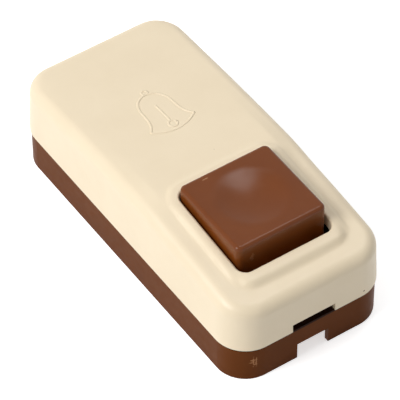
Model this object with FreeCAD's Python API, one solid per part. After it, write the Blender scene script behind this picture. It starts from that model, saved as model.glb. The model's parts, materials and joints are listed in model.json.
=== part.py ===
import FreeCAD, Part
import math
import os

# A surface-mounted bell push that lies on its back. Lengths are in millimetres.
# The origin is the middle of the flat back. +Z points out of the wall, +Y up the wall
# and away from the cable end, +X to the right.

Vector = FreeCAD.Vector
UP = Vector(0, 0, 1)

# Outline that both mouldings share where they meet
width = 34.0
length = 73.0
corner_radius = 6.5
base_height = 8.0

# Walls and drafts of the mouldings
cover_wall = 1.5
cover_draft = 0.035
base_step = 0.25
base_wall = 1.5
base_draft = 0.006
floor_thickness = 2.0

# Cover top: a shelf that is crowned along its length
crest_height = 20.45
crest_y = 0.0
far_bend_radius = 361.0
near_bend_radius = 235.0
edge_round = 2.4
top_thickness = 1.8

# Cover top: a broad deck that rises towards the key and dies away at both of its sides
deck_height_at_key = 21.45
deck_rise = 0.055
deck_half_width = 12.4
deck_side_slope = 3.4
deck_start = -7.0
deck_full = 3.0

# Cover top: the frame round the key, which stands above the deck and the shelf
frame_lift = 0.2
frame_fall = 0.097
frame_half_width = 11.6
frame_near_reach = 2.1
frame_far_reach = 1.4
frame_corner_radius = 3.6
frame_flank = 1.3
coarse_step = 3.0
fine_step = 0.5

# Key and the opening it stands in
key_width = 19.4
key_length = 19.0
key_end_margin = 10.1
key_top = 23.6
key_corner_radius = 1.2
key_edge_round = 0.8
key_wall = 1.6
key_skirt_bottom = 14.6
side_gap = 0.45
far_gap = 0.35
near_gap = 2.1
opening_corner_radius = 2.0
lip_round = 0.4

# Finger dish in the key
dish_radius = 6.8
dish_depth = 0.9
dish_rim_round = 8.0

# Pivot of the key, set off from the key's far side
pivot_offset = 3.0
pivot_z = 14.6
pin_radius = 1.25
pin_clearance = 0.06
pin_length = 2.2
ear_radius = 2.3
ear_side_gap = 0.3
bearing_thickness = 2.0
bearing_wall = 1.2
snap_share = 0.85
tilt_limit = 6.0

# Stop flange at the near side of the key, and the posts that end its travel
flange_thickness = 1.6
flange_reach = 3.6
flange_half_width = 6.0
stop_gap = 0.05
pad_margin = 0.6
pad_thickness = 1.2
post_side = 2.4
post_inset = 1.1
post_gap = 0.1

# Return spring and the bosses at its ends
spring_offset = 8.6
spring_radius = 2.5
spring_wire = 0.5
spring_turns = 5.5
close_pitch = 0.6
wire_flats = 8
points_per_turn = 8
spring_foot = 6.0
spring_top = 15.4
spring_seat_radius = 3.5
nib_radius = 1.8
nib_height = 1.6

# Contact strips
strip_seat = 6.0
strip_thickness = 0.5
pad_margin_x = 9.0
pad_side = 8.0
arm_inset = 2.7
arm_width = 4.0
bend_offset = 3.5
contact_offset = 4.9
leaf_end_half = 1.6
leaf_rest_gap = 0.1
cross_arm_width = 3.2
support_width = 2.4
arm_boss_radius = 2.95
dimple_radius = 1.2
dimple_tip_radius = 0.5
dimple_depth = 0.5
stud_radius = 1.3
stud_height = 0.7
stud_edge = 0.2
stud_tail_radius = 0.7
stud_tail_length = 0.9
contact_gap = 0.1
pusher_side = 3.0

# Rivets that hold the strips
rivet_offset = 11.0
rivet_radius = 1.0
rivet_clearance = 0.05
rivet_head_radius = 1.9
rivet_head_height = 0.8
rivet_head_edge = 0.4
rivet_tail_height = 0.6
rivet_sink_radius = 2.3
rivet_sink_depth = 1.3

# Terminal screw, clamp washer and nut
terminal_end_margin = 20.5
terminal_half = 4.4
screw_radius = 1.5
screw_clearance = 0.1
screw_head_radius = 2.8
screw_head_height = 1.9
screw_head_edge = 0.6
screw_slot_width = 0.8
screw_slot_depth = 1.0
screw_length = 5.3
washer_side = 7.2
washer_thickness = 0.9
washer_lip = 0.5
washer_lip_rise = 0.6
nut_side = 5.5
nut_thickness = 2.1
nut_clearance = 0.1
screw_well_radius = 1.9
screw_well_floor = 1.5

# Wall screw holes, one above the other
wall_hole_radius = 2.1
wall_hole_end_margin = 7.5
wall_hole_key_offset = 0.4
wall_boss_radius = 4.4
wall_boss_height = 1.4

# Cable recess in the back: a notch in the near wall, a wider chamber behind it and a hole
# through the chamber's roof. The cover has a notch above it.
recess_width = 6.8
recess_height = 3.6
recess_length = 10.5
recess_wall = 1.2
recess_front_wall = 1.3
chamber_width = 13.0
cable_hole_length = 5.0
notch_width = 9.3
notch_height = 1.8

# Locating ribs with snap beads
rib_slack = 0.2
rib_height = 1.6
rib_thickness = 0.9
rib_length = 16.0
rib_end_margin = 20.5
bead_length = 8.0
bead_height = 0.8
bead_depth = 0.45
bead_slack = 0.1


def box(x_low, x_high, y_low, y_high, z_low, z_high):
    """A box between two corners."""
    corner = Vector(x_low, y_low, z_low)
    return Part.makeBox(x_high - x_low, y_high - y_low, z_high - z_low, corner)


def centred_box(x_middle, y_middle, x_size, y_size, z_low, z_high):
    """A box that is centred in plan."""
    half_x = x_size / 2
    half_y = y_size / 2
    return box(x_middle - half_x, x_middle + half_x, y_middle - half_y, y_middle + half_y, z_low, z_high)


def rod(radius, x, y, z_low, z_high):
    """An upright cylinder."""
    return Part.makeCylinder(radius, z_high - z_low, Vector(x, y, z_low))


def cross_rod(radius, x_low, x_high, y, z):
    """A cylinder that lies across the object."""
    return Part.makeCylinder(radius, x_high - x_low, Vector(x_low, y, z), Vector(1, 0, 0))


def rounded_wire(half_x, half_y, radius, z, y_middle=0.0):
    """A rectangle with round corners, at one height."""
    turn = radius * (1 - math.sqrt(0.5))
    edges = []
    corners = [(1, 1), (-1, 1), (-1, -1), (1, -1)]
    points = []
    for number, (side_x, side_y) in enumerate(corners):
        on_side = Vector(side_x * half_x, y_middle + side_y * (half_y - radius), z)
        on_end = Vector(side_x * (half_x - radius), y_middle + side_y * half_y, z)
        middle = Vector(side_x * (half_x - turn), y_middle + side_y * (half_y - turn), z)
        pair = (on_side, middle, on_end) if number % 2 == 0 else (on_end, middle, on_side)
        points.append(pair)
    for number, (start, middle, end) in enumerate(points):
        edges.append(Part.Arc(start, middle, end).toShape())
        following = points[(number + 1) % len(points)][0]
        edges.append(Part.LineSegment(end, following).toShape())
    return Part.Wire(edges)


def outline_wire(inset, z):
    """The shared outline, moved inwards."""
    return rounded_wire(width / 2 - inset, length / 2 - inset, corner_radius - inset, z)


def drafted_block(inset_low, inset_high, z_low, z_high):
    """The space inside the outline, with sloping sides."""
    return Part.makeLoft([outline_wire(inset_low, z_low), outline_wire(inset_high, z_high)], True, True)


def rounded_block(half_x, half_y, radius, y_middle, z_low, z_high):
    """An upright block with round corners."""
    face = Part.Face(rounded_wire(half_x, half_y, radius, z_low, y_middle))
    return face.extrude(Vector(0, 0, z_high - z_low))


def smooth_step(share):
    """0 below 0, 1 above 1, and a soft S between."""
    share = min(1.0, max(0.0, share))
    return share * share * (3 - 2 * share)


# Places that follow from the sizes above
key_near_y = -length / 2 + key_end_margin
key_far_y = key_near_y + key_length
key_middle_y = (key_far_y + key_near_y) / 2
opening_far_y = key_far_y + far_gap
opening_near_y = key_near_y - near_gap
opening_half_width = key_width / 2 + side_gap
frame_near_y = opening_near_y - frame_near_reach
frame_far_y = opening_far_y + frame_far_reach
pivot_y = key_far_y + pivot_offset
spring_y = key_far_y - spring_offset
contact_y = key_near_y + contact_offset
terminal_y = length / 2 - terminal_end_margin
rivet_y = terminal_y - rivet_offset
bend_y = rivet_y - bend_offset
pad_x = width / 2 - pad_margin_x
arm_x = key_width / 2 - arm_inset
post_x = key_width / 2 - post_inset
wall_holes_y = (length / 2 - wall_hole_end_margin, key_far_y + wall_hole_key_offset)
recess_end_y = -length / 2 + recess_length
rib_y = (-length / 2 + rib_end_margin, length / 2 - rib_end_margin)
top_limit = deck_height_at_key + frame_lift
bore_radius = pin_radius + pin_clearance
key_roof = key_top - dish_depth - key_wall
cover_inner_x = width / 2 - cover_wall
rib_face_x = cover_inner_x - rib_slack
strip_top = strip_seat + strip_thickness
stud_top = strip_top + stud_height
washer_top = strip_top + washer_thickness
sides = {"left": -1, "right": 1}


def shelf_height(y):
    """Height of the crowned shelf."""
    reach = y - crest_y
    bend_radius = far_bend_radius if reach > 0 else near_bend_radius
    return crest_height - reach ** 2 / (2 * bend_radius)


def surround_height(x, y):
    """Height of the top beside the frame: the shelf at the sides and the deck beyond the key."""
    shelf = shelf_height(y)
    deck = deck_height_at_key - deck_rise * (y - opening_far_y)
    along = smooth_step((y - opening_far_y - deck_start) / (deck_full - deck_start))
    across = 1 - smooth_step((abs(x) - deck_half_width) / deck_side_slope)
    return shelf + max(0.0, deck - shelf) * along * across


def distance_outside_frame(x, y):
    """Distance in plan from the frame's outline, negative inside it."""
    middle = (frame_far_y + frame_near_y) / 2
    half_y = (frame_far_y - frame_near_y) / 2
    over_x = abs(x) - (frame_half_width - frame_corner_radius)
    over_y = abs(y - middle) - (half_y - frame_corner_radius)
    beyond = math.hypot(max(over_x, 0.0), max(over_y, 0.0))
    return beyond + min(max(over_x, over_y), 0.0) - frame_corner_radius


def top_height(x, y):
    """Height of the cover's outer top face."""
    surround = surround_height(x, y)
    frame = deck_height_at_key + frame_lift - frame_fall * (opening_far_y - y)
    lift = max(0.0, frame - surround)
    return surround + lift * (1 - smooth_step(distance_outside_frame(x, y) / frame_flank))


def stations(low, high, coarse, fine_spans, fine):
    """Places from low to high, closer together inside the fine spans."""
    places = [low]
    while places[-1] < high:
        here = places[-1]
        close = any(start - coarse <= here < end for start, end in fine_spans)
        places.append(here + (fine if close else coarse))
    return places


def top_surface():
    """The cover's outer top as one smooth surface, drawn over the net of its heights."""
    flank_span = (frame_half_width - fine_step, frame_half_width + frame_flank)
    near_span = (frame_near_y - frame_flank, frame_near_y + fine_step)
    far_span = (frame_far_y - fine_step, frame_far_y + frame_flank)
    half = stations(0.0, width / 2 + coarse_step, coarse_step, [flank_span], fine_step)
    across = [-place for place in reversed(half[1:])] + half
    reach = length / 2 + coarse_step
    along = stations(-reach, reach, coarse_step, [near_span, far_span], fine_step)
    poles = [[Vector(x, y, top_height(x, y)) for y in along] for x in across]
    degree = 3
    knots = []
    repeats = []
    for count in (len(across), len(along)):
        spans = count - degree
        knots.append([float(number) for number in range(spans + 1)])
        repeats.append([degree + 1] + [1] * (spans - 1) + [degree + 1])
    surface = Part.BSplineSurface()
    surface.buildFromPolesMultsKnots(
        poles, repeats[0], repeats[1], knots[0], knots[1], False, False, degree, degree)
    return surface


def main_top(shape):
    """The broad outer face on top of the cover."""
    return max(shape.Faces, key=lambda face: face.Area * face.CenterOfMass.z)


def below_top(drop):
    """The space under the crowned shelf, lowered by drop, between the outline's ends."""
    far = length / 2
    arcs = []
    ends = [-far, crest_y, far]
    for start, end in zip(ends[:-1], ends[1:]):
        middle = (start + end) / 2
        points = [Vector(-width, y, shelf_height(y) - drop) for y in (start, middle, end)]
        arcs.append(Part.Arc(*points).toShape())
    left = Vector(-width, -far, shelf_height(-far) - drop)
    right = Vector(-width, far, shelf_height(far) - drop)
    foot_left = Vector(-width, -far, 0)
    foot_right = Vector(-width, far, 0)
    sides = [
        Part.LineSegment(right, foot_right).toShape(),
        Part.LineSegment(foot_right, foot_left).toShape(),
        Part.LineSegment(foot_left, left).toShape(),
    ]
    face = Part.Face(Part.Wire(arcs + sides))
    return face.extrude(Vector(2 * width, 0, 0))


def cover_outside():
    """The cover as a full block: drafted sides, soft top, round edges and the key's opening."""
    rise = top_limit - base_height + edge_round
    block = drafted_block(0.0, cover_draft * rise, base_height, base_height + rise)
    under_top = top_surface().toShape().extrude(Vector(0, 0, -2 * top_limit))
    block = block.common(under_top)
    block = block.Solids[0]
    block = block.makeFillet(edge_round, main_top(block).OuterWire.Edges)
    half_y = (opening_far_y - opening_near_y) / 2
    middle_y = (opening_far_y + opening_near_y) / 2
    opening = rounded_block(
        opening_half_width, half_y, opening_corner_radius, middle_y, base_height, 2 * top_limit)
    block = block.cut(opening)
    top = main_top(block)
    lip = [edge for wire in top.Wires for edge in wire.Edges if not wire.isSame(top.OuterWire)]
    return block.makeFillet(lip_round, lip)


def cavity():
    """The hollow inside the cover."""
    rise = crest_height - base_height
    inset = cover_wall + cover_draft * rise
    hollow = drafted_block(cover_wall, inset, base_height, crest_height)
    return hollow.common(below_top(top_thickness))


def bearing(side):
    """One of the two hanging plates that carry the key's pins, open below so that a pin snaps in."""
    inner_x = key_width / 2 + ear_side_gap
    low_x, high_x = sorted((side * inner_x, side * (inner_x + bearing_thickness)))
    half_y = bore_radius + bearing_wall
    roof_z = crest_height - top_thickness / 2
    plate = box(low_x, high_x, pivot_y - half_y, pivot_y + half_y, pivot_z, roof_z)
    plate = plate.fuse(cross_rod(half_y, low_x, high_x, pivot_y, pivot_z))
    mouth_half = pin_radius * snap_share
    mouth = box(low_x, high_x, pivot_y - mouth_half, pivot_y + mouth_half, pivot_z - 2 * half_y, pivot_z)
    return plate.cut(cross_rod(bore_radius, low_x, high_x, pivot_y, pivot_z)).cut(mouth)


def stop_pad():
    """The flat pad under the frame's near side, where the key's flange rests."""
    low_y = key_near_y - flange_reach - pad_margin
    low_z = key_skirt_bottom + flange_thickness + stop_gap
    return box(-flange_half_width, flange_half_width, low_y, opening_near_y, low_z, low_z + pad_thickness)


def snap_bead(side, y, extra):
    """A round bead along a locating rib. With extra it is the groove for it in the cover."""
    half_height = bead_height / 2
    radius = (half_height ** 2 + bead_depth ** 2) / (2 * bead_depth)
    centre = Vector(side * (rib_face_x + bead_depth - radius), y, base_height + rib_height / 2)
    half = bead_length / 2 + extra
    bead = Part.makeCylinder(radius + extra, 2 * half, centre - Vector(0, half, 0), Vector(0, 1, 0))
    low_x, high_x = sorted((side * (rib_face_x - rib_thickness / 2), side * width))
    return bead.common(box(low_x, high_x, y - half, y + half, 0, crest_height))


def make_cover():
    """The pale shell with the frame, the opening, the bearings and the cable notch."""
    shell = cover_outside().cut(cavity())
    for side in sides.values():
        shell = shell.fuse(bearing(side))
        for y in rib_y:
            shell = shell.cut(snap_bead(side, y, bead_slack))
    shell = shell.fuse(stop_pad())
    notch = box(-notch_width / 2, notch_width / 2, -length, -length / 2 + 2 * cover_wall,
                base_height - notch_height, base_height + notch_height)
    return shell.cut(notch).removeSplitter()


def pivot_ear(side):
    """A rounded ear at the far side of the key with its pivot pin."""
    outer_x = side * key_width / 2
    inner_x = side * (key_width / 2 - key_wall)
    low_x, high_x = sorted((inner_x, outer_x))
    ear = box(low_x, high_x, key_far_y - key_wall, pivot_y, pivot_z - ear_radius, pivot_z + ear_radius)
    ear = ear.fuse(cross_rod(ear_radius, low_x, high_x, pivot_y, pivot_z))
    low_x, high_x = sorted((inner_x, outer_x + side * pin_length))
    return ear.fuse(cross_rod(pin_radius, low_x, high_x, pivot_y, pivot_z))


def travel_at(y):
    """How far a point of the key level with the pivot moves down at the limit."""
    return (pivot_y - y) * math.sin(math.radians(tilt_limit))


def leaf_top():
    """Top of the leaf's flat end at rest."""
    return stud_top + contact_gap + dimple_depth + strip_thickness + travel_at(contact_y)


def key_attachments():
    """The stop flange, the pusher, the spring boss and the ears of the key."""
    flange = box(-flange_half_width, flange_half_width, key_near_y - flange_reach, key_near_y + key_wall,
                 key_skirt_bottom, key_skirt_bottom + flange_thickness)
    joined_z = key_roof + key_wall / 2
    pusher = centred_box(-arm_x, contact_y, pusher_side, pusher_side, leaf_top() + leaf_rest_gap, joined_z)
    boss = rod(spring_seat_radius, 0, spring_y, spring_top, joined_z)
    nib = rod(nib_radius, 0, spring_y, spring_top - nib_height, joined_z)
    return [flange, pusher, boss, nib] + [pivot_ear(side) for side in sides.values()]


def make_push_key():
    """The square key: a hollow cap with a round finger dish."""
    half_x = key_width / 2
    half_y = key_length / 2
    cap = rounded_block(half_x, half_y, key_corner_radius, key_middle_y, key_skirt_bottom, key_top)
    top = max(cap.Faces, key=lambda face: face.CenterOfMass.z)
    cap = cap.makeFillet(key_edge_round, top.Edges)
    ball_radius = (dish_radius ** 2 + dish_depth ** 2) / (2 * dish_depth)
    ball_z = key_top - dish_depth + ball_radius
    across = Vector(1, 0, 0)
    cap = cap.cut(Part.makeSphere(ball_radius, Vector(0, key_middle_y, ball_z), across))
    dish = min(cap.Faces, key=lambda face: abs(face.Area - math.pi * dish_radius ** 2))
    cap = cap.makeFillet(dish_rim_round, dish.Edges)
    hollow = rounded_block(half_x - key_wall, half_y - key_wall, key_corner_radius / 2, key_middle_y,
                           key_skirt_bottom - key_wall, key_roof)
    cap = cap.cut(hollow)
    for piece in key_attachments():
        cap = cap.fuse(piece)
    return cap.removeSplitter()


def tunnel():
    """The raised walls and roof round the cable recess."""
    half = chamber_width / 2 + recess_wall
    end_y = recess_end_y + recess_wall
    return box(-half, half, -length / 2 + base_wall / 2, end_y, floor_thickness / 2, recess_height + recess_wall)


def recess():
    """The cable recess in the back: the notch, the chamber and the hole through its roof."""
    half = recess_width / 2
    notch = box(-half, half, -length, recess_end_y, -floor_thickness, recess_height)
    chamber_y = -length / 2 + recess_front_wall
    chamber_half = chamber_width / 2
    chamber = box(-chamber_half, chamber_half, chamber_y, recess_end_y, -floor_thickness, recess_height)
    hole = box(-half, half, recess_end_y - cable_hole_length, recess_end_y,
               recess_height / 2, recess_height + 2 * recess_wall)
    return notch.fuse(chamber).fuse(hole)


def locating_rib(side, y):
    """A rib on a long side that stands inside the cover, with its snap bead."""
    half = rib_length / 2
    inner_x = rib_face_x - rib_thickness
    low_x, high_x = sorted((side * inner_x, side * (width / 2 - base_wall / 2)))
    foot = box(low_x, high_x, y - half, y + half, floor_thickness / 2, base_height)
    low_x, high_x = sorted((side * inner_x, side * rib_face_x))
    blade = box(low_x, high_x, y - half, y + half, floor_thickness / 2, base_height + rib_height)
    return [foot, blade, snap_bead(side, y, 0.0)]


def floor_bosses():
    """What stands on the floor of the tray."""
    low = floor_thickness / 2
    half_arm = support_width / 2
    near_y = contact_y
    bosses = [tunnel(), rod(spring_seat_radius, 0, spring_y, low, spring_foot)]
    bosses.append(rod(nib_radius, 0, spring_y, low, spring_foot + nib_height))
    bosses.append(box(arm_x - half_arm, arm_x + half_arm, near_y, terminal_y, low, strip_seat))
    bosses.append(box(-arm_x - half_arm, -arm_x + half_arm, bend_y, terminal_y, low, strip_seat))
    bosses.append(rod(arm_boss_radius, -arm_x, near_y, low, strip_seat))
    for y in wall_holes_y:
        bosses.append(rod(wall_boss_radius, 0, y, low, floor_thickness + wall_boss_height))
    for side in sides.values():
        bosses.append(centred_box(side * pad_x, terminal_y, 2 * terminal_half, 2 * terminal_half, low, strip_seat))
        bosses.append(rod(rivet_sink_radius + recess_wall, side * arm_x, rivet_y, low, strip_seat))
        post_y = key_near_y + post_side / 2
        post_top = key_skirt_bottom - travel_at(key_near_y) - post_gap
        bosses.append(centred_box(side * post_x, post_y, post_side, post_side, low, post_top))
        for y in rib_y:
            bosses.extend(locating_rib(side, y))
    return bosses


def tray_holes():
    """What is taken out of the tray."""
    through = 2 * base_height
    holes = [recess()]
    for y in wall_holes_y:
        holes.append(rod(wall_hole_radius, 0, y, -through, through))
    pocket = nut_side + 2 * nut_clearance
    pocket_floor = strip_seat - nut_thickness - nut_clearance
    for side in sides.values():
        holes.append(centred_box(side * pad_x, terminal_y, pocket, pocket, pocket_floor, through))
        holes.append(rod(screw_well_radius, side * pad_x, terminal_y, screw_well_floor, through))
        holes.append(rod(rivet_radius + rivet_clearance, side * arm_x, rivet_y, -through, through))
        holes.append(rod(rivet_sink_radius, side * arm_x, rivet_y, -through, rivet_sink_depth))
    tail_room = stud_tail_radius + screw_clearance
    holes.append(rod(tail_room, -arm_x, contact_y, strip_seat - 2 * stud_tail_length, through))
    return holes


def make_base_tray():
    """The tray that is screwed to the wall and carries the contacts."""
    inset = base_step + base_draft * base_height
    tray = drafted_block(inset, base_step, 0.0, base_height)
    inner = rounded_block(width / 2 - base_wall, length / 2 - base_wall, corner_radius - base_wall, 0.0,
                          floor_thickness, 2 * base_height)
    tray = tray.cut(inner)
    for boss in floor_bosses():
        tray = tray.fuse(boss)
    for hole in tray_holes():
        tray = tray.cut(hole)
    return tray.removeSplitter()


def spring_path():
    """The middle line of the coil: close end turns and open turns between them."""
    low_z = spring_foot + spring_wire / 2
    high_z = spring_top - spring_wire / 2
    open_pitch = (high_z - low_z - 2 * close_pitch) / (spring_turns - 2)
    points = []
    z = low_z
    count = int(spring_turns * points_per_turn)
    for number in range(count + 1):
        turn = number / points_per_turn
        angle = 2 * math.pi * turn
        points.append(Vector(spring_radius * math.cos(angle), spring_y + spring_radius * math.sin(angle), z))
        at_end = turn < 1 or turn >= spring_turns - 1
        z += (close_pitch if at_end else open_pitch) / points_per_turn
    path = Part.BSplineCurve()
    path.interpolate(points)
    return path


def make_return_spring():
    """A compression coil of facetted wire, with a close turn at each end."""
    path = spring_path()
    start = path.value(path.FirstParameter)
    corners = []
    for number in range(wire_flats):
        angle = 2 * math.pi * number / wire_flats
        corners.append(start + Vector(math.cos(angle), 0, math.sin(angle)) * (spring_wire / 2))
    ring = Part.makePolygon(corners + corners[:1])
    return Part.Wire(path.toShape()).makePipeShell([ring], True, True)


def strip_pad(side):
    """The square end of a strip under its terminal."""
    return centred_box(side * pad_x, terminal_y, pad_side, pad_side, strip_seat, strip_top)


def strip_holes(side):
    """The screw hole and the rivet hole of a strip."""
    screw_hole = rod(screw_radius + screw_clearance, side * pad_x, terminal_y, 0, washer_top)
    rivet_hole = rod(rivet_radius + rivet_clearance, side * arm_x, rivet_y, 0, washer_top)
    return [screw_hole, rivet_hole]


def make_moving_contact():
    """The leaf: flat on the tray as far as the rivet, then rising to the key's pusher."""
    tip = leaf_top()
    tip_start = contact_y + leaf_end_half
    tip_end = contact_y - leaf_end_half
    under = [(terminal_y, strip_seat), (bend_y, strip_seat)]
    under += [(tip_start, tip - strip_thickness), (tip_end, tip - strip_thickness)]
    over = [(y, z + strip_thickness) for y, z in reversed(under)]
    low_x = -arm_x - arm_width / 2
    corners = [Vector(low_x, y, z) for y, z in under + over]
    leaf = Part.Face(Part.makePolygon(corners + corners[:1])).extrude(Vector(arm_width, 0, 0))
    leaf = leaf.fuse(strip_pad(-1))
    low = Vector(-arm_x, contact_y, tip - strip_thickness - dimple_depth)
    dimple = Part.makeCone(dimple_tip_radius, dimple_radius, dimple_depth, low)
    hollow = dimple.translated(Vector(0, 0, strip_thickness))
    leaf = leaf.fuse(dimple).cut(hollow)
    for hole in strip_holes(-1):
        leaf = leaf.cut(hole)
    return leaf.removeSplitter()


def make_fixed_contact():
    """The strip from the right terminal to a cross arm under the end of the leaf."""
    arm = box(arm_x - arm_width / 2, arm_x + arm_width / 2, contact_y, terminal_y, strip_seat, strip_top)
    cross_half = cross_arm_width / 2
    reach = arm_x + arm_width / 2
    cross = box(-reach, reach, contact_y - cross_half, contact_y + cross_half, strip_seat, strip_top)
    strip = strip_pad(1).fuse(arm).fuse(cross)
    for hole in strip_holes(1):
        strip = strip.cut(hole)
    strip = strip.cut(rod(stud_tail_radius + rivet_clearance, -arm_x, contact_y, 0, washer_top))
    return strip.removeSplitter()


def make_contact_stud():
    """The contact point on the cross arm, with its tail through the strip."""
    head = rod(stud_radius, -arm_x, contact_y, strip_top, stud_top)
    top = max(head.Faces, key=lambda face: face.CenterOfMass.z)
    head = head.makeChamfer(stud_edge, top.Edges)
    return head.fuse(rod(stud_tail_radius, -arm_x, contact_y, strip_top - stud_tail_length, strip_top)).removeSplitter()


def make_strip_rivet(side):
    """A rivet from the strip down to a sunk tail in the back of the tray."""
    x = side * arm_x
    tail_low = rivet_sink_depth - rivet_tail_height
    head = rod(rivet_head_radius, x, rivet_y, strip_top, strip_top + rivet_head_height)
    top = max(head.Faces, key=lambda face: face.CenterOfMass.z)
    head = head.makeChamfer(rivet_head_edge, top.Edges)
    tail = rod(rivet_head_radius, x, rivet_y, tail_low, rivet_sink_depth)
    return head.fuse(rod(rivet_radius, x, rivet_y, tail_low, strip_top)).fuse(tail).removeSplitter()


def make_terminal_screw(side):
    """A slotted pan head screw."""
    x = side * pad_x
    head = rod(screw_head_radius, x, terminal_y, washer_top, washer_top + screw_head_height)
    top = max(head.Faces, key=lambda face: face.CenterOfMass.z)
    head = head.makeChamfer(screw_head_edge, top.Edges)
    slot_z = washer_top + screw_head_height - screw_slot_depth
    slot = centred_box(x, terminal_y, screw_slot_width, 2 * screw_head_radius, slot_z, 2 * washer_top)
    shank = rod(screw_radius, x, terminal_y, washer_top - screw_length, washer_top)
    return head.cut(slot).fuse(shank).removeSplitter()


def make_clamp_washer(side):
    """A square clamping plate with two turned-up edges that keep the wire in place."""
    x = side * pad_x
    plate = centred_box(x, terminal_y, washer_side, washer_side, strip_top, washer_top)
    for end in (-1, 1):
        lip_y = terminal_y + end * (washer_side - washer_lip) / 2
        plate = plate.fuse(centred_box(x, lip_y, washer_side, washer_lip, strip_top, washer_top + washer_lip_rise))
    return plate.cut(rod(screw_radius + screw_clearance, x, terminal_y, 0, 2 * washer_top)).removeSplitter()


def make_terminal_nut(side):
    """A square nut that sits in its pocket under the strip."""
    low = strip_seat - nut_thickness
    nut = centred_box(side * pad_x, terminal_y, nut_side, nut_side, low, strip_seat)
    return nut.cut(rod(screw_radius + rivet_clearance, side * pad_x, terminal_y, 0, strip_top))


def all_pieces():
    """Every sub-part with its name."""
    pieces = {
        "base_tray": make_base_tray(),
        "cover": make_cover(),
        "push_key": make_push_key(),
        "return_spring": make_return_spring(),
        "moving_contact": make_moving_contact(),
        "fixed_contact": make_fixed_contact(),
        "contact_stud": make_contact_stud(),
    }
    for name, side in sides.items():
        pieces[name + "_strip_rivet"] = make_strip_rivet(side)
        pieces[name + "_terminal_screw"] = make_terminal_screw(side)
        pieces[name + "_clamp_washer"] = make_clamp_washer(side)
        pieces[name + "_terminal_nut"] = make_terminal_nut(side)
    return pieces


os.makedirs("parts", exist_ok=True)
for name, shape in all_pieces().items():
    solid = shape.Solids[0] if len(shape.Solids) == 1 else shape
    solid.exportStep("parts/" + name + ".step")
    print(name, len(shape.Solids), shape.isValid(), round(shape.Volume, 2), len(shape.Faces))
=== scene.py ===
import json
import math

import bmesh
import bpy
from mathutils import Matrix, Vector
from mathutils.bvhtree import BVHTree


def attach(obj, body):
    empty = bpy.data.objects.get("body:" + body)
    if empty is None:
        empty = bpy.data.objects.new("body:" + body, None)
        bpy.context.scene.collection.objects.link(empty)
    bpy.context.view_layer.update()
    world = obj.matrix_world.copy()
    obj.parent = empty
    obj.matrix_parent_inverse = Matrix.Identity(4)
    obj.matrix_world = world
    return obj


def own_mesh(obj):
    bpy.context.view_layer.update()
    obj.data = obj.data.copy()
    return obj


# The dressed model of a surface-mounted bell push. Lengths are in metres unless a name ends in
# _MM or _mm.
MM = 0.001

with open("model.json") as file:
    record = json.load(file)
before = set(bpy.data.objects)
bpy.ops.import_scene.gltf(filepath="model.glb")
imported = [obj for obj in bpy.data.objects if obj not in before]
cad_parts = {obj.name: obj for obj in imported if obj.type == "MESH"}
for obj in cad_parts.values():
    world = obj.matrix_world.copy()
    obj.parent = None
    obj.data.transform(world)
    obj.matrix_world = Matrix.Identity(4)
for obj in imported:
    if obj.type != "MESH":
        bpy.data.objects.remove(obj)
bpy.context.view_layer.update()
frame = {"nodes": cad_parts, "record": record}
nodes = frame["nodes"]

# The photograph's camera: a turn vector, the object's place in camera space in units of the
# object's width, and the focal length as a share of the picture's width
UNIT = 0.034
CAMERA_TURN = (2.305973, -0.711661, 0.271362)
CAMERA_OFFSET = (0.000115, 0.148469, 19.657569)
FOCAL_SHARE = 3584.284 / 400
SENSOR_MM = 36.0
CLIP_START = 0.05

# Colours, written as they show on a screen
CREAM = (0.930, 0.865, 0.750)
CREAM_DARK = (0.915, 0.848, 0.730)
KEY_BROWN = (0.455, 0.230, 0.060)
KEY_BROWN_DARK = (0.433, 0.214, 0.052)
BASE_BROWN = (0.403, 0.222, 0.098)
BASE_BROWN_DARK = (0.383, 0.206, 0.086)
# The colour of the painted shade on the top of the base, under the cover's edge
SEAM_SHADE_BROWN = (0.150, 0.070, 0.035)
SCUFF = (0.640, 0.450, 0.310)
DIRT = (0.500, 0.380, 0.260)
STEEL = (0.760, 0.760, 0.750)
STEEL_DARK = (0.600, 0.600, 0.590)
BRASS = (0.850, 0.680, 0.380)
BRASS_DARK = (0.680, 0.500, 0.250)
SILVER = (0.900, 0.890, 0.860)

# Where the photograph shows specks and scuffs: centre and half sizes, in millimetres, and for the
# scuffs how strongly they show
CREAM_SPECKS = [
    ((11.0, -36.4, 9.1), (0.22, 0.5, 0.17)),
    ((2.15, -1.6, 21.5), (0.16, 0.16, 0.5)),
]
BASE_SCUFFS = [
    ((-12.75, -35.9, 4.7), (0.17, 0.6, 1.3), 1.0),
    ((-12.25, -36.1, 4.6), (0.15, 0.6, 1.2), 0.9),
    ((-12.75, -35.9, 5.0), (0.9, 0.6, 0.18), 0.9),
    ((-13.2, -35.7, 4.4), (0.5, 0.6, 0.17), 0.8),
    ((-12.5, -36.0, 3.8), (0.5, 0.6, 0.2), 0.8),
]
KEY_SCUFFS = [
    ((-6.65, -26.4, 20.2), (0.5, 0.3, 0.9), 0.35),
    ((-4.7, -8.7, 23.6), (0.7, 0.12, 0.3), 0.9),
]
SPECK_RAGGED = (0.35, 1500.0)
SCUFF_RAGGED = (0.5, 2600.0)

# Painted shade: the top of the base is painted darker where it meets the cover, as the shadow
# under the cover's edge
SEAM_SHADE_HEIGHT_MM = 7.6
SEAM_SHADE_BLEND_MM = 0.12

# The part of a noise texture's range that is used
NOISE_LOW = 0.3
NOISE_HIGH = 0.7

# The colour sockets of a Mix node
MIX_FIRST = 6
MIX_SECOND = 7
MIX_RESULT = 2

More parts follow.
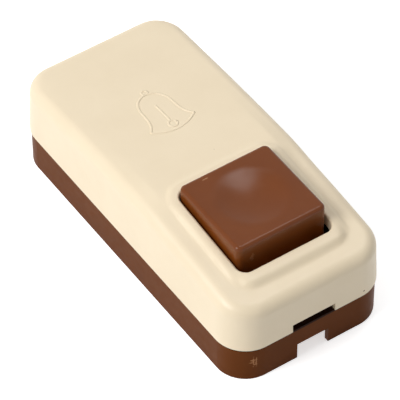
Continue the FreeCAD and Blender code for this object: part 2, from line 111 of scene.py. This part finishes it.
# The bell figure on the top of the cover, as raised lines. All places in millimetres.
LINE_WIDTH_MM = 0.5
LINE_RISE_MM = 0.12
LINE_SINK_MM = 0.15
SHOULDER_ACROSS = 0.6
SHOULDER_RISE = 0.75
LINE_STEPS = 6
RING_STEPS = 16
BELL_SIDE = [(0.0, 18.0), (1.5, 17.5), (2.6, 16.4), (3.2, 14.8), (3.3, 13.0), (3.5, 11.2),
             (4.0, 9.8), (4.8, 8.7)]
BELL_MOUTH = [(-4.8, 8.7), (-2.6, 7.5), (0.0, 7.0), (2.6, 7.5), (4.8, 8.7)]
BELL_STEM = [(0.0, 14.4), (0.0, 12.0), (0.0, 9.5)]
BELL_CLAPPER = (0.0, 8.6, 0.85)
BELL_LOOP = (0.2, 18.5, 0.6)

# The floor. Its part under the base has the half width, half length and corner radius below, and
# is split at a line, beyond which it has no glow.
FLOOR_REACH = 3.0
FLOOR_Z = -0.05 * MM
FLOOR_WHITE = (0.88, 0.88, 0.88, 1)
FLOOR_GLOW = 0.60
FOOTPRINT_MM = (16.6, 36.1, 7.0)
SPLIT_Y_MM = -25.0
CORNER_STEPS = 6

# The sky's light on the near and the far side, and how wide the change between them and the edge
# at the horizon are
PLAIN_WHITE = (1, 1, 1, 1)
SKY_NEAR = 0.26
SKY_FAR = 0.62
SKY_BLEND = 0.7
SKY_EDGE = 0.1

# Lamps: name, place, size and power
LAMPS = [
    ("left_lamp", (-0.53, 0.05, 0.51), 0.30, 3.40),
    ("right_lamp", (0.272, 0.166, 0.735), 0.26, 0.88),
]
LAMP_AIM = (0, 0, 0.01)


def linear(colour):
    """A screen colour as a linear RGBA value."""
    parts = [c / 12.92 if c <= 0.04045 else ((c + 0.055) / 1.055) ** 2.4 for c in colour]
    return (*parts, 1.0)


def feed(tree, socket, value):
    """Gives a socket a number or another node's output."""
    if isinstance(value, (int, float)):
        socket.default_value = value
    else:
        tree.links.new(value, socket)


def math_node(tree, operation, first, second):
    node = tree.nodes.new("ShaderNodeMath")
    node.operation = operation
    feed(tree, node.inputs[0], first)
    feed(tree, node.inputs[1], second)
    return node.outputs["Value"]


def range_node(tree, value, low, high, to_low=0.0, to_high=1.0):
    """Moves a value from one range to another, and holds it at the ends."""
    node = tree.nodes.new("ShaderNodeMapRange")
    feed(tree, node.inputs["Value"], value)
    feed(tree, node.inputs["From Min"], low)
    feed(tree, node.inputs["From Max"], high)
    feed(tree, node.inputs["To Min"], to_low)
    feed(tree, node.inputs["To Max"], to_high)
    return node.outputs["Result"]


class Material:
    """A node material that is put together line by line."""

    def __init__(self, name):
        self.data = bpy.data.materials.new(name)
        self.data.use_nodes = True
        self.tree = self.data.node_tree
        self.shader = self.tree.nodes["Principled BSDF"]
        coordinates = self.tree.nodes.new("ShaderNodeTexCoord")
        self.place = coordinates.outputs["Object"]

    def set(self, **values):
        """Sets sockets of the shader that are the same all over."""
        for name, value in values.items():
            self.shader.inputs[name.replace("_", " ")].default_value = value
        return self

    def join(self, source, target):
        self.tree.links.new(source, target)

    def noise(self, scale, detail=3.0, roughness=0.5):
        node = self.tree.nodes.new("ShaderNodeTexNoise")
        node.inputs["Scale"].default_value = scale
        node.inputs["Detail"].default_value = detail
        node.inputs["Roughness"].default_value = roughness
        self.join(self.place, node.inputs["Vector"])
        return node.outputs["Fac"]

    def uneven(self, noise, low=0.0, high=1.0):
        """A noise spread over the range between two values."""
        return range_node(self.tree, noise, NOISE_LOW, NOISE_HIGH, low, high)

    def mix(self, share, first, second):
        """Mixes two colours, each a screen colour or another node's output."""
        node = self.tree.nodes.new("ShaderNodeMix")
        node.data_type = "RGBA"
        self.join(share, node.inputs["Factor"])
        for number, colour in ((MIX_FIRST, first), (MIX_SECOND, second)):
            if isinstance(colour, tuple):
                node.inputs[number].default_value = linear(colour)
            else:
                self.join(colour, node.inputs[number])
        return node.outputs[MIX_RESULT]

    def spot(self, centre_mm, radii_mm, ragged):
        """1 inside an uneven spot on the surface and 0 outside it."""
        mapping = self.tree.nodes.new("ShaderNodeMapping")
        mapping.vector_type = "POINT"
        scales = [1 / (radius * MM) for radius in radii_mm]
        mapping.inputs["Scale"].default_value = scales
        shift = [-place * MM * scale for place, scale in zip(centre_mm, scales)]
        mapping.inputs["Location"].default_value = shift
        self.join(self.place, mapping.inputs["Vector"])
        length = self.tree.nodes.new("ShaderNodeVectorMath")
        length.operation = "LENGTH"
        self.join(mapping.outputs["Vector"], length.inputs[0])
        amount, scale = ragged
        uneven = self.uneven(self.noise(scale), -amount, amount)
        reach = math_node(self.tree, "ADD", length.outputs["Value"], uneven)
        return range_node(self.tree, reach, 1.0, 0.7)

    def above(self, height_mm, blend_mm):
        """0 below a height and 1 above it, with a soft change."""
        split = self.tree.nodes.new("ShaderNodeSeparateXYZ")
        self.join(self.place, split.inputs[0])
        low = (height_mm - blend_mm) * MM
        return range_node(self.tree, split.outputs["Z"], low, height_mm * MM)

    def bump(self, height, strength, distance_mm):
        node = self.tree.nodes.new("ShaderNodeBump")
        node.inputs["Strength"].default_value = strength
        node.inputs["Distance"].default_value = distance_mm * MM
        self.join(height, node.inputs["Height"])
        self.join(node.outputs["Normal"], self.shader.inputs["Normal"])

    def colour(self, output):
        self.join(output, self.shader.inputs["Base Color"])

    def roughness(self, output):
        self.join(output, self.shader.inputs["Roughness"])


def cream_plastic():
    """Aged pale plastic with a fine satin grain and a few specks of dirt."""
    material = Material("cream_plastic")
    shade = material.uneven(material.noise(90, detail=4, roughness=0.6))
    colour = material.mix(shade, CREAM, CREAM_DARK)
    for centre, radii in CREAM_SPECKS:
        colour = material.mix(material.spot(centre, radii, SPECK_RAGGED), colour, DIRT)
    material.colour(colour)
    material.roughness(material.uneven(material.noise(700, detail=3), 0.36, 0.44))
    material.bump(material.noise(3500, detail=2), strength=0.10, distance_mm=0.03)
    return material.set(IOR=1.49)


def brown_plastic(name, light, dark, roughness, grain, shine, scuffs, seam=False):
    """Dark brown plastic with pale scuffs, and painted shade along the seam with the cover."""
    material = Material(name)
    shade = material.uneven(material.noise(120, detail=4, roughness=0.6))
    colour = material.mix(shade, light, dark)
    for centre, radii, strength in scuffs:
        spot = material.spot(centre, radii, SCUFF_RAGGED)
        share = math_node(material.tree, "MULTIPLY", spot, strength)
        colour = material.mix(share, colour, SCUFF)
    if seam:
        # Painted shade: the top of the base is darkened below the cover's overhanging edge
        colour = material.mix(material.above(SEAM_SHADE_HEIGHT_MM, SEAM_SHADE_BLEND_MM), colour, SEAM_SHADE_BROWN)
    material.colour(colour)
    material.roughness(material.uneven(material.noise(600, detail=3), *roughness))
    material.bump(material.noise(3000, detail=2), strength=grain, distance_mm=0.03)
    return material.set(IOR=1.5, Specular_IOR_Level=shine)


def metal(name, light, dark, roughness):
    """Bright metal with slightly uneven polish."""
    material = Material(name)
    shade = material.uneven(material.noise(400, detail=4))
    material.colour(material.mix(shade, light, dark))
    material.roughness(material.uneven(material.noise(900, detail=3), *roughness))
    material.bump(material.noise(4000, detail=2), strength=0.08, distance_mm=0.02)
    return material.set(Metallic=1.0)


looks = {
    "cream_cover": cream_plastic(),
    "brown_base": brown_plastic(
        "base_plastic", BASE_BROWN, BASE_BROWN_DARK, roughness=(0.32, 0.42), grain=0.12,
        shine=0.022, scuffs=BASE_SCUFFS, seam=True),
    "brown_key": brown_plastic(
        "key_plastic", KEY_BROWN, KEY_BROWN_DARK, roughness=(0.18, 0.26), grain=0.03,
        shine=0.25, scuffs=KEY_SCUFFS),
    "spring_steel": metal("spring_steel", STEEL, STEEL_DARK, roughness=(0.22, 0.34)),
    "plated_steel": metal("plated_steel", STEEL, STEEL_DARK, roughness=(0.28, 0.42)),
    "contact_brass": metal("contact_brass", BRASS, BRASS_DARK, roughness=(0.24, 0.36)),
    "contact_silver": metal("contact_silver", SILVER, STEEL, roughness=(0.18, 0.26)),
}
slot_of = {part["node"]: part["material_slot"] for part in frame["record"]["subparts"]}
for name, node in nodes.items():
    node.data.materials.clear()
    node.data.materials.append(looks[slot_of[name]].data)


def curve_value(before, start, end, after, t):
    """One coordinate of a soft curve between two of its points."""
    bend = 2 * before - 5 * start + 4 * end - after
    twist = 3 * start - before - 3 * end + after
    return 0.5 * (2 * start + (end - before) * t + bend * t * t + twist * t ** 3)


def smooth_line(points, steps):
    """Points along a soft curve through the given ones."""
    line = []
    padded = [points[0]] + list(points) + [points[-1]]
    for stretch in zip(padded, padded[1:], padded[2:], padded[3:]):
        for step in range(steps):
            line.append(tuple(curve_value(*values, step / steps) for values in zip(*stretch)))
    line.append(points[-1])
    return line


def ring_line(x, y, radius):
    """Points round a closed circle."""
    turns = [2 * math.pi * step / RING_STEPS for step in range(RING_STEPS + 1)]
    return [(x + radius * math.cos(turn), y + radius * math.sin(turn)) for turn in turns]


def surface_under(tree, x_mm, y_mm):
    """The point of the cover's top at a place in plan."""
    hit = tree.ray_cast(Vector((x_mm * MM, y_mm * MM, 1.0)), Vector((0, 0, -1)))
    return hit[0]


def raised_line(mesh, tree, line):
    """Adds one half-round rib that follows the cover."""
    half = LINE_WIDTH_MM / 2
    shoulder = SHOULDER_ACROSS * half
    shoulder_rise = SHOULDER_RISE * LINE_RISE_MM
    section = [(-half, -LINE_SINK_MM), (-half, 0.0), (-shoulder, shoulder_rise),
               (0.0, LINE_RISE_MM), (shoulder, shoulder_rise), (half, 0.0), (half, -LINE_SINK_MM)]
    rings = []
    for number, (x, y) in enumerate(line):
        before = line[max(0, number - 1)]
        after = line[min(len(line) - 1, number + 1)]
        along = Vector((after[0] - before[0], after[1] - before[1])).normalized()
        ring = []
        for across, rise in section:
            point = surface_under(tree, x - along.y * across, y + along.x * across)
            ring.append(mesh.verts.new((point.x, point.y, point.z + rise * MM)))
        rings.append(ring)
    for first, second in zip(rings, rings[1:]):
        for side in range(len(section)):
            other = (side + 1) % len(section)
            mesh.faces.new((first[side], first[other], second[other], second[side]))
    mesh.faces.new(list(reversed(rings[0])))
    mesh.faces.new(rings[-1])


def make_bell():
    """The whole figure as one piece on the cover."""
    cover = nodes["cover"]
    source = bmesh.new()
    source.from_mesh(cover.data)
    tree = BVHTree.FromBMesh(source)
    mesh = bmesh.new()
    for points in (BELL_SIDE, [(-x, y) for x, y in BELL_SIDE], BELL_MOUTH, BELL_STEM):
        raised_line(mesh, tree, smooth_line(points, LINE_STEPS))
    for ring in (BELL_CLAPPER, BELL_LOOP):
        raised_line(mesh, tree, ring_line(*ring))
    source.free()
    bmesh.ops.recalc_face_normals(mesh, faces=mesh.faces)
    data = bpy.data.meshes.new("bell_relief")
    mesh.to_mesh(data)
    mesh.free()
    for face in data.polygons:
        face.use_smooth = True
    data.materials.append(looks["cream_cover"].data)
    bell = bpy.data.objects.new("bell_relief", data)
    bpy.context.scene.collection.objects.link(bell)
    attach(bell, "housing")


make_bell()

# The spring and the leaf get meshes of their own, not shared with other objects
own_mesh(nodes["return_spring"])
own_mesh(nodes["moving_contact"])


def seen_directly(tree):
    """1 for rays of the camera, a reflection or a glass, and 0 for rays that carry light."""
    path = tree.nodes.new("ShaderNodeLightPath")
    seen = path.outputs["Is Camera Ray"]
    for kind in ("Is Glossy Ray", "Is Transmission Ray"):
        seen = math_node(tree, "MAXIMUM", seen, path.outputs[kind])
    return seen


def floor_material(name, glow_level, lets_light_up=False):
    """A white matt floor, made paler by a glow that lights nothing, and see-through from below.

    Where it lets light up, only the camera sees it, and only from above.
    """
    material = bpy.data.materials.new(name)
    material.use_nodes = True
    tree = material.node_tree
    tree.nodes.clear()
    diffuse = tree.nodes.new("ShaderNodeBsdfDiffuse")
    diffuse.inputs["Color"].default_value = FLOOR_WHITE
    glow = tree.nodes.new("ShaderNodeEmission")
    glow.inputs["Color"].default_value = PLAIN_WHITE
    strength = math_node(tree, "MULTIPLY", seen_directly(tree), glow_level)
    feed(tree, glow.inputs["Strength"], strength)
    add = tree.nodes.new("ShaderNodeAddShader")
    tree.links.new(diffuse.outputs[0], add.inputs[0])
    tree.links.new(glow.outputs[0], add.inputs[1])
    see_through = tree.nodes.new("ShaderNodeNewGeometry").outputs["Backfacing"]
    if lets_light_up:
        path = tree.nodes.new("ShaderNodeLightPath")
        unseen = math_node(tree, "SUBTRACT", 1.0, path.outputs["Is Camera Ray"])
        see_through = math_node(tree, "MAXIMUM", see_through, unseen)
    clear = tree.nodes.new("ShaderNodeBsdfTransparent")
    mix = tree.nodes.new("ShaderNodeMixShader")
    feed(tree, mix.inputs["Fac"], see_through)
    tree.links.new(add.outputs[0], mix.inputs[1])
    tree.links.new(clear.outputs[0], mix.inputs[2])
    output = tree.nodes.new("ShaderNodeOutputMaterial")
    tree.links.new(mix.outputs[0], output.inputs["Surface"])
    return material


def footprint():
    """Points round the base's footprint, and how many of them lie on its near part.

    The near part begins at the first point and ends at the last one that is counted.
    """
    half_width, half_length, corner = FOOTPRINT_MM
    points = [(-half_width, SPLIT_Y_MM)]
    for number, (side_x, side_y) in enumerate(((-1, -1), (1, -1), (1, 1), (-1, 1))):
        for step in range(CORNER_STEPS + 1):
            turn = math.pi * (1 + number / 2 + step / CORNER_STEPS / 2)
            points.append((side_x * (half_width - corner) + corner * math.cos(turn),
                           side_y * (half_length - corner) + corner * math.sin(turn)))
        if number == 1:
            points.append((half_width, SPLIT_Y_MM))
            near_count = len(points)
    return [Vector((x * MM, y * MM, FLOOR_Z)) for x, y in points], near_count


def make_floor():
    """A white floor that shows the shadow, without the glow where the base stands on it."""
    data = bpy.data.meshes.new("floor")
    inner, near_count = footprint()
    outer = [point.normalized() * FLOOR_REACH for point in inner]
    for point in outer:
        point.z = FLOOR_Z
    count = len(inner)
    ring = []
    for side in range(count):
        following = (side + 1) % count
        ring.append((side, following, following + count, side + count))
    near = [count + number for number in range(near_count)]
    far = [count + number % count for number in range(near_count - 1, count + 1)]
    data.from_pydata(outer + inner, [], ring + [near, far])
    data.materials.append(floor_material("floor", FLOOR_GLOW))
    data.materials.append(floor_material("floor_under_cable_end", FLOOR_GLOW, lets_light_up=True))
    data.materials.append(floor_material("floor_under_base", 0.0, lets_light_up=True))
    data.polygons[count].material_index = 1
    data.polygons[count + 1].material_index = 2
    floor = bpy.data.objects.new("floor", data)
    bpy.context.scene.collection.objects.link(floor)


def make_world():
    """A pale sky, dimmer on the near side, that is seen as plain white, and is white below."""
    world = bpy.data.worlds.new("studio")
    bpy.context.scene.world = world
    world.use_nodes = True
    tree = world.node_tree
    background = tree.nodes["Background"]
    background.inputs["Color"].default_value = PLAIN_WHITE
    direction = tree.nodes.new("ShaderNodeTexCoord")
    split = tree.nodes.new("ShaderNodeSeparateXYZ")
    tree.links.new(direction.outputs["Generated"], split.inputs[0])
    across = range_node(tree, split.outputs["Y"], -SKY_BLEND, SKY_BLEND, SKY_NEAR, SKY_FAR)
    below = range_node(tree, split.outputs["Z"], 0.0, -SKY_EDGE)
    light = math_node(tree, "MAXIMUM", across, below)
    level = range_node(tree, seen_directly(tree), 0.0, 1.0, light, 1.0)
    feed(tree, background.inputs["Strength"], level)


def make_lamp(name, place, size, power):
    """A soft square lamp that points at the object."""
    data = bpy.data.lights.new(name, "AREA")
    data.shape = "SQUARE"
    data.size = size
    data.energy = power
    lamp = bpy.data.objects.new(name, data)
    lamp.location = place
    aim = Vector(LAMP_AIM) - Vector(place)
    lamp.rotation_euler = aim.to_track_quat("-Z", "Y").to_euler()
    bpy.context.scene.collection.objects.link(lamp)


def make_camera():
    """The photograph's camera."""
    turn_vector = Vector(CAMERA_TURN)
    turn = Matrix.Rotation(turn_vector.length, 3, turn_vector.normalized())
    place = -(turn.transposed() @ Vector(CAMERA_OFFSET)) * UNIT
    flip = Matrix(((1, 0, 0), (0, -1, 0), (0, 0, -1)))
    data = bpy.data.cameras.new("camera")
    data.sensor_width = SENSOR_MM
    data.lens = FOCAL_SHARE * SENSOR_MM
    data.clip_start = CLIP_START
    camera = bpy.data.objects.new("camera", data)
    camera.matrix_world = Matrix.Translation(place) @ (turn.transposed() @ flip).to_4x4()
    bpy.context.scene.collection.objects.link(camera)
    bpy.context.scene.camera = camera


make_floor()
make_world()
for lamp_values in LAMPS:
    make_lamp(*lamp_values)
make_camera()
bpy.context.scene.view_settings.view_transform = "Standard"
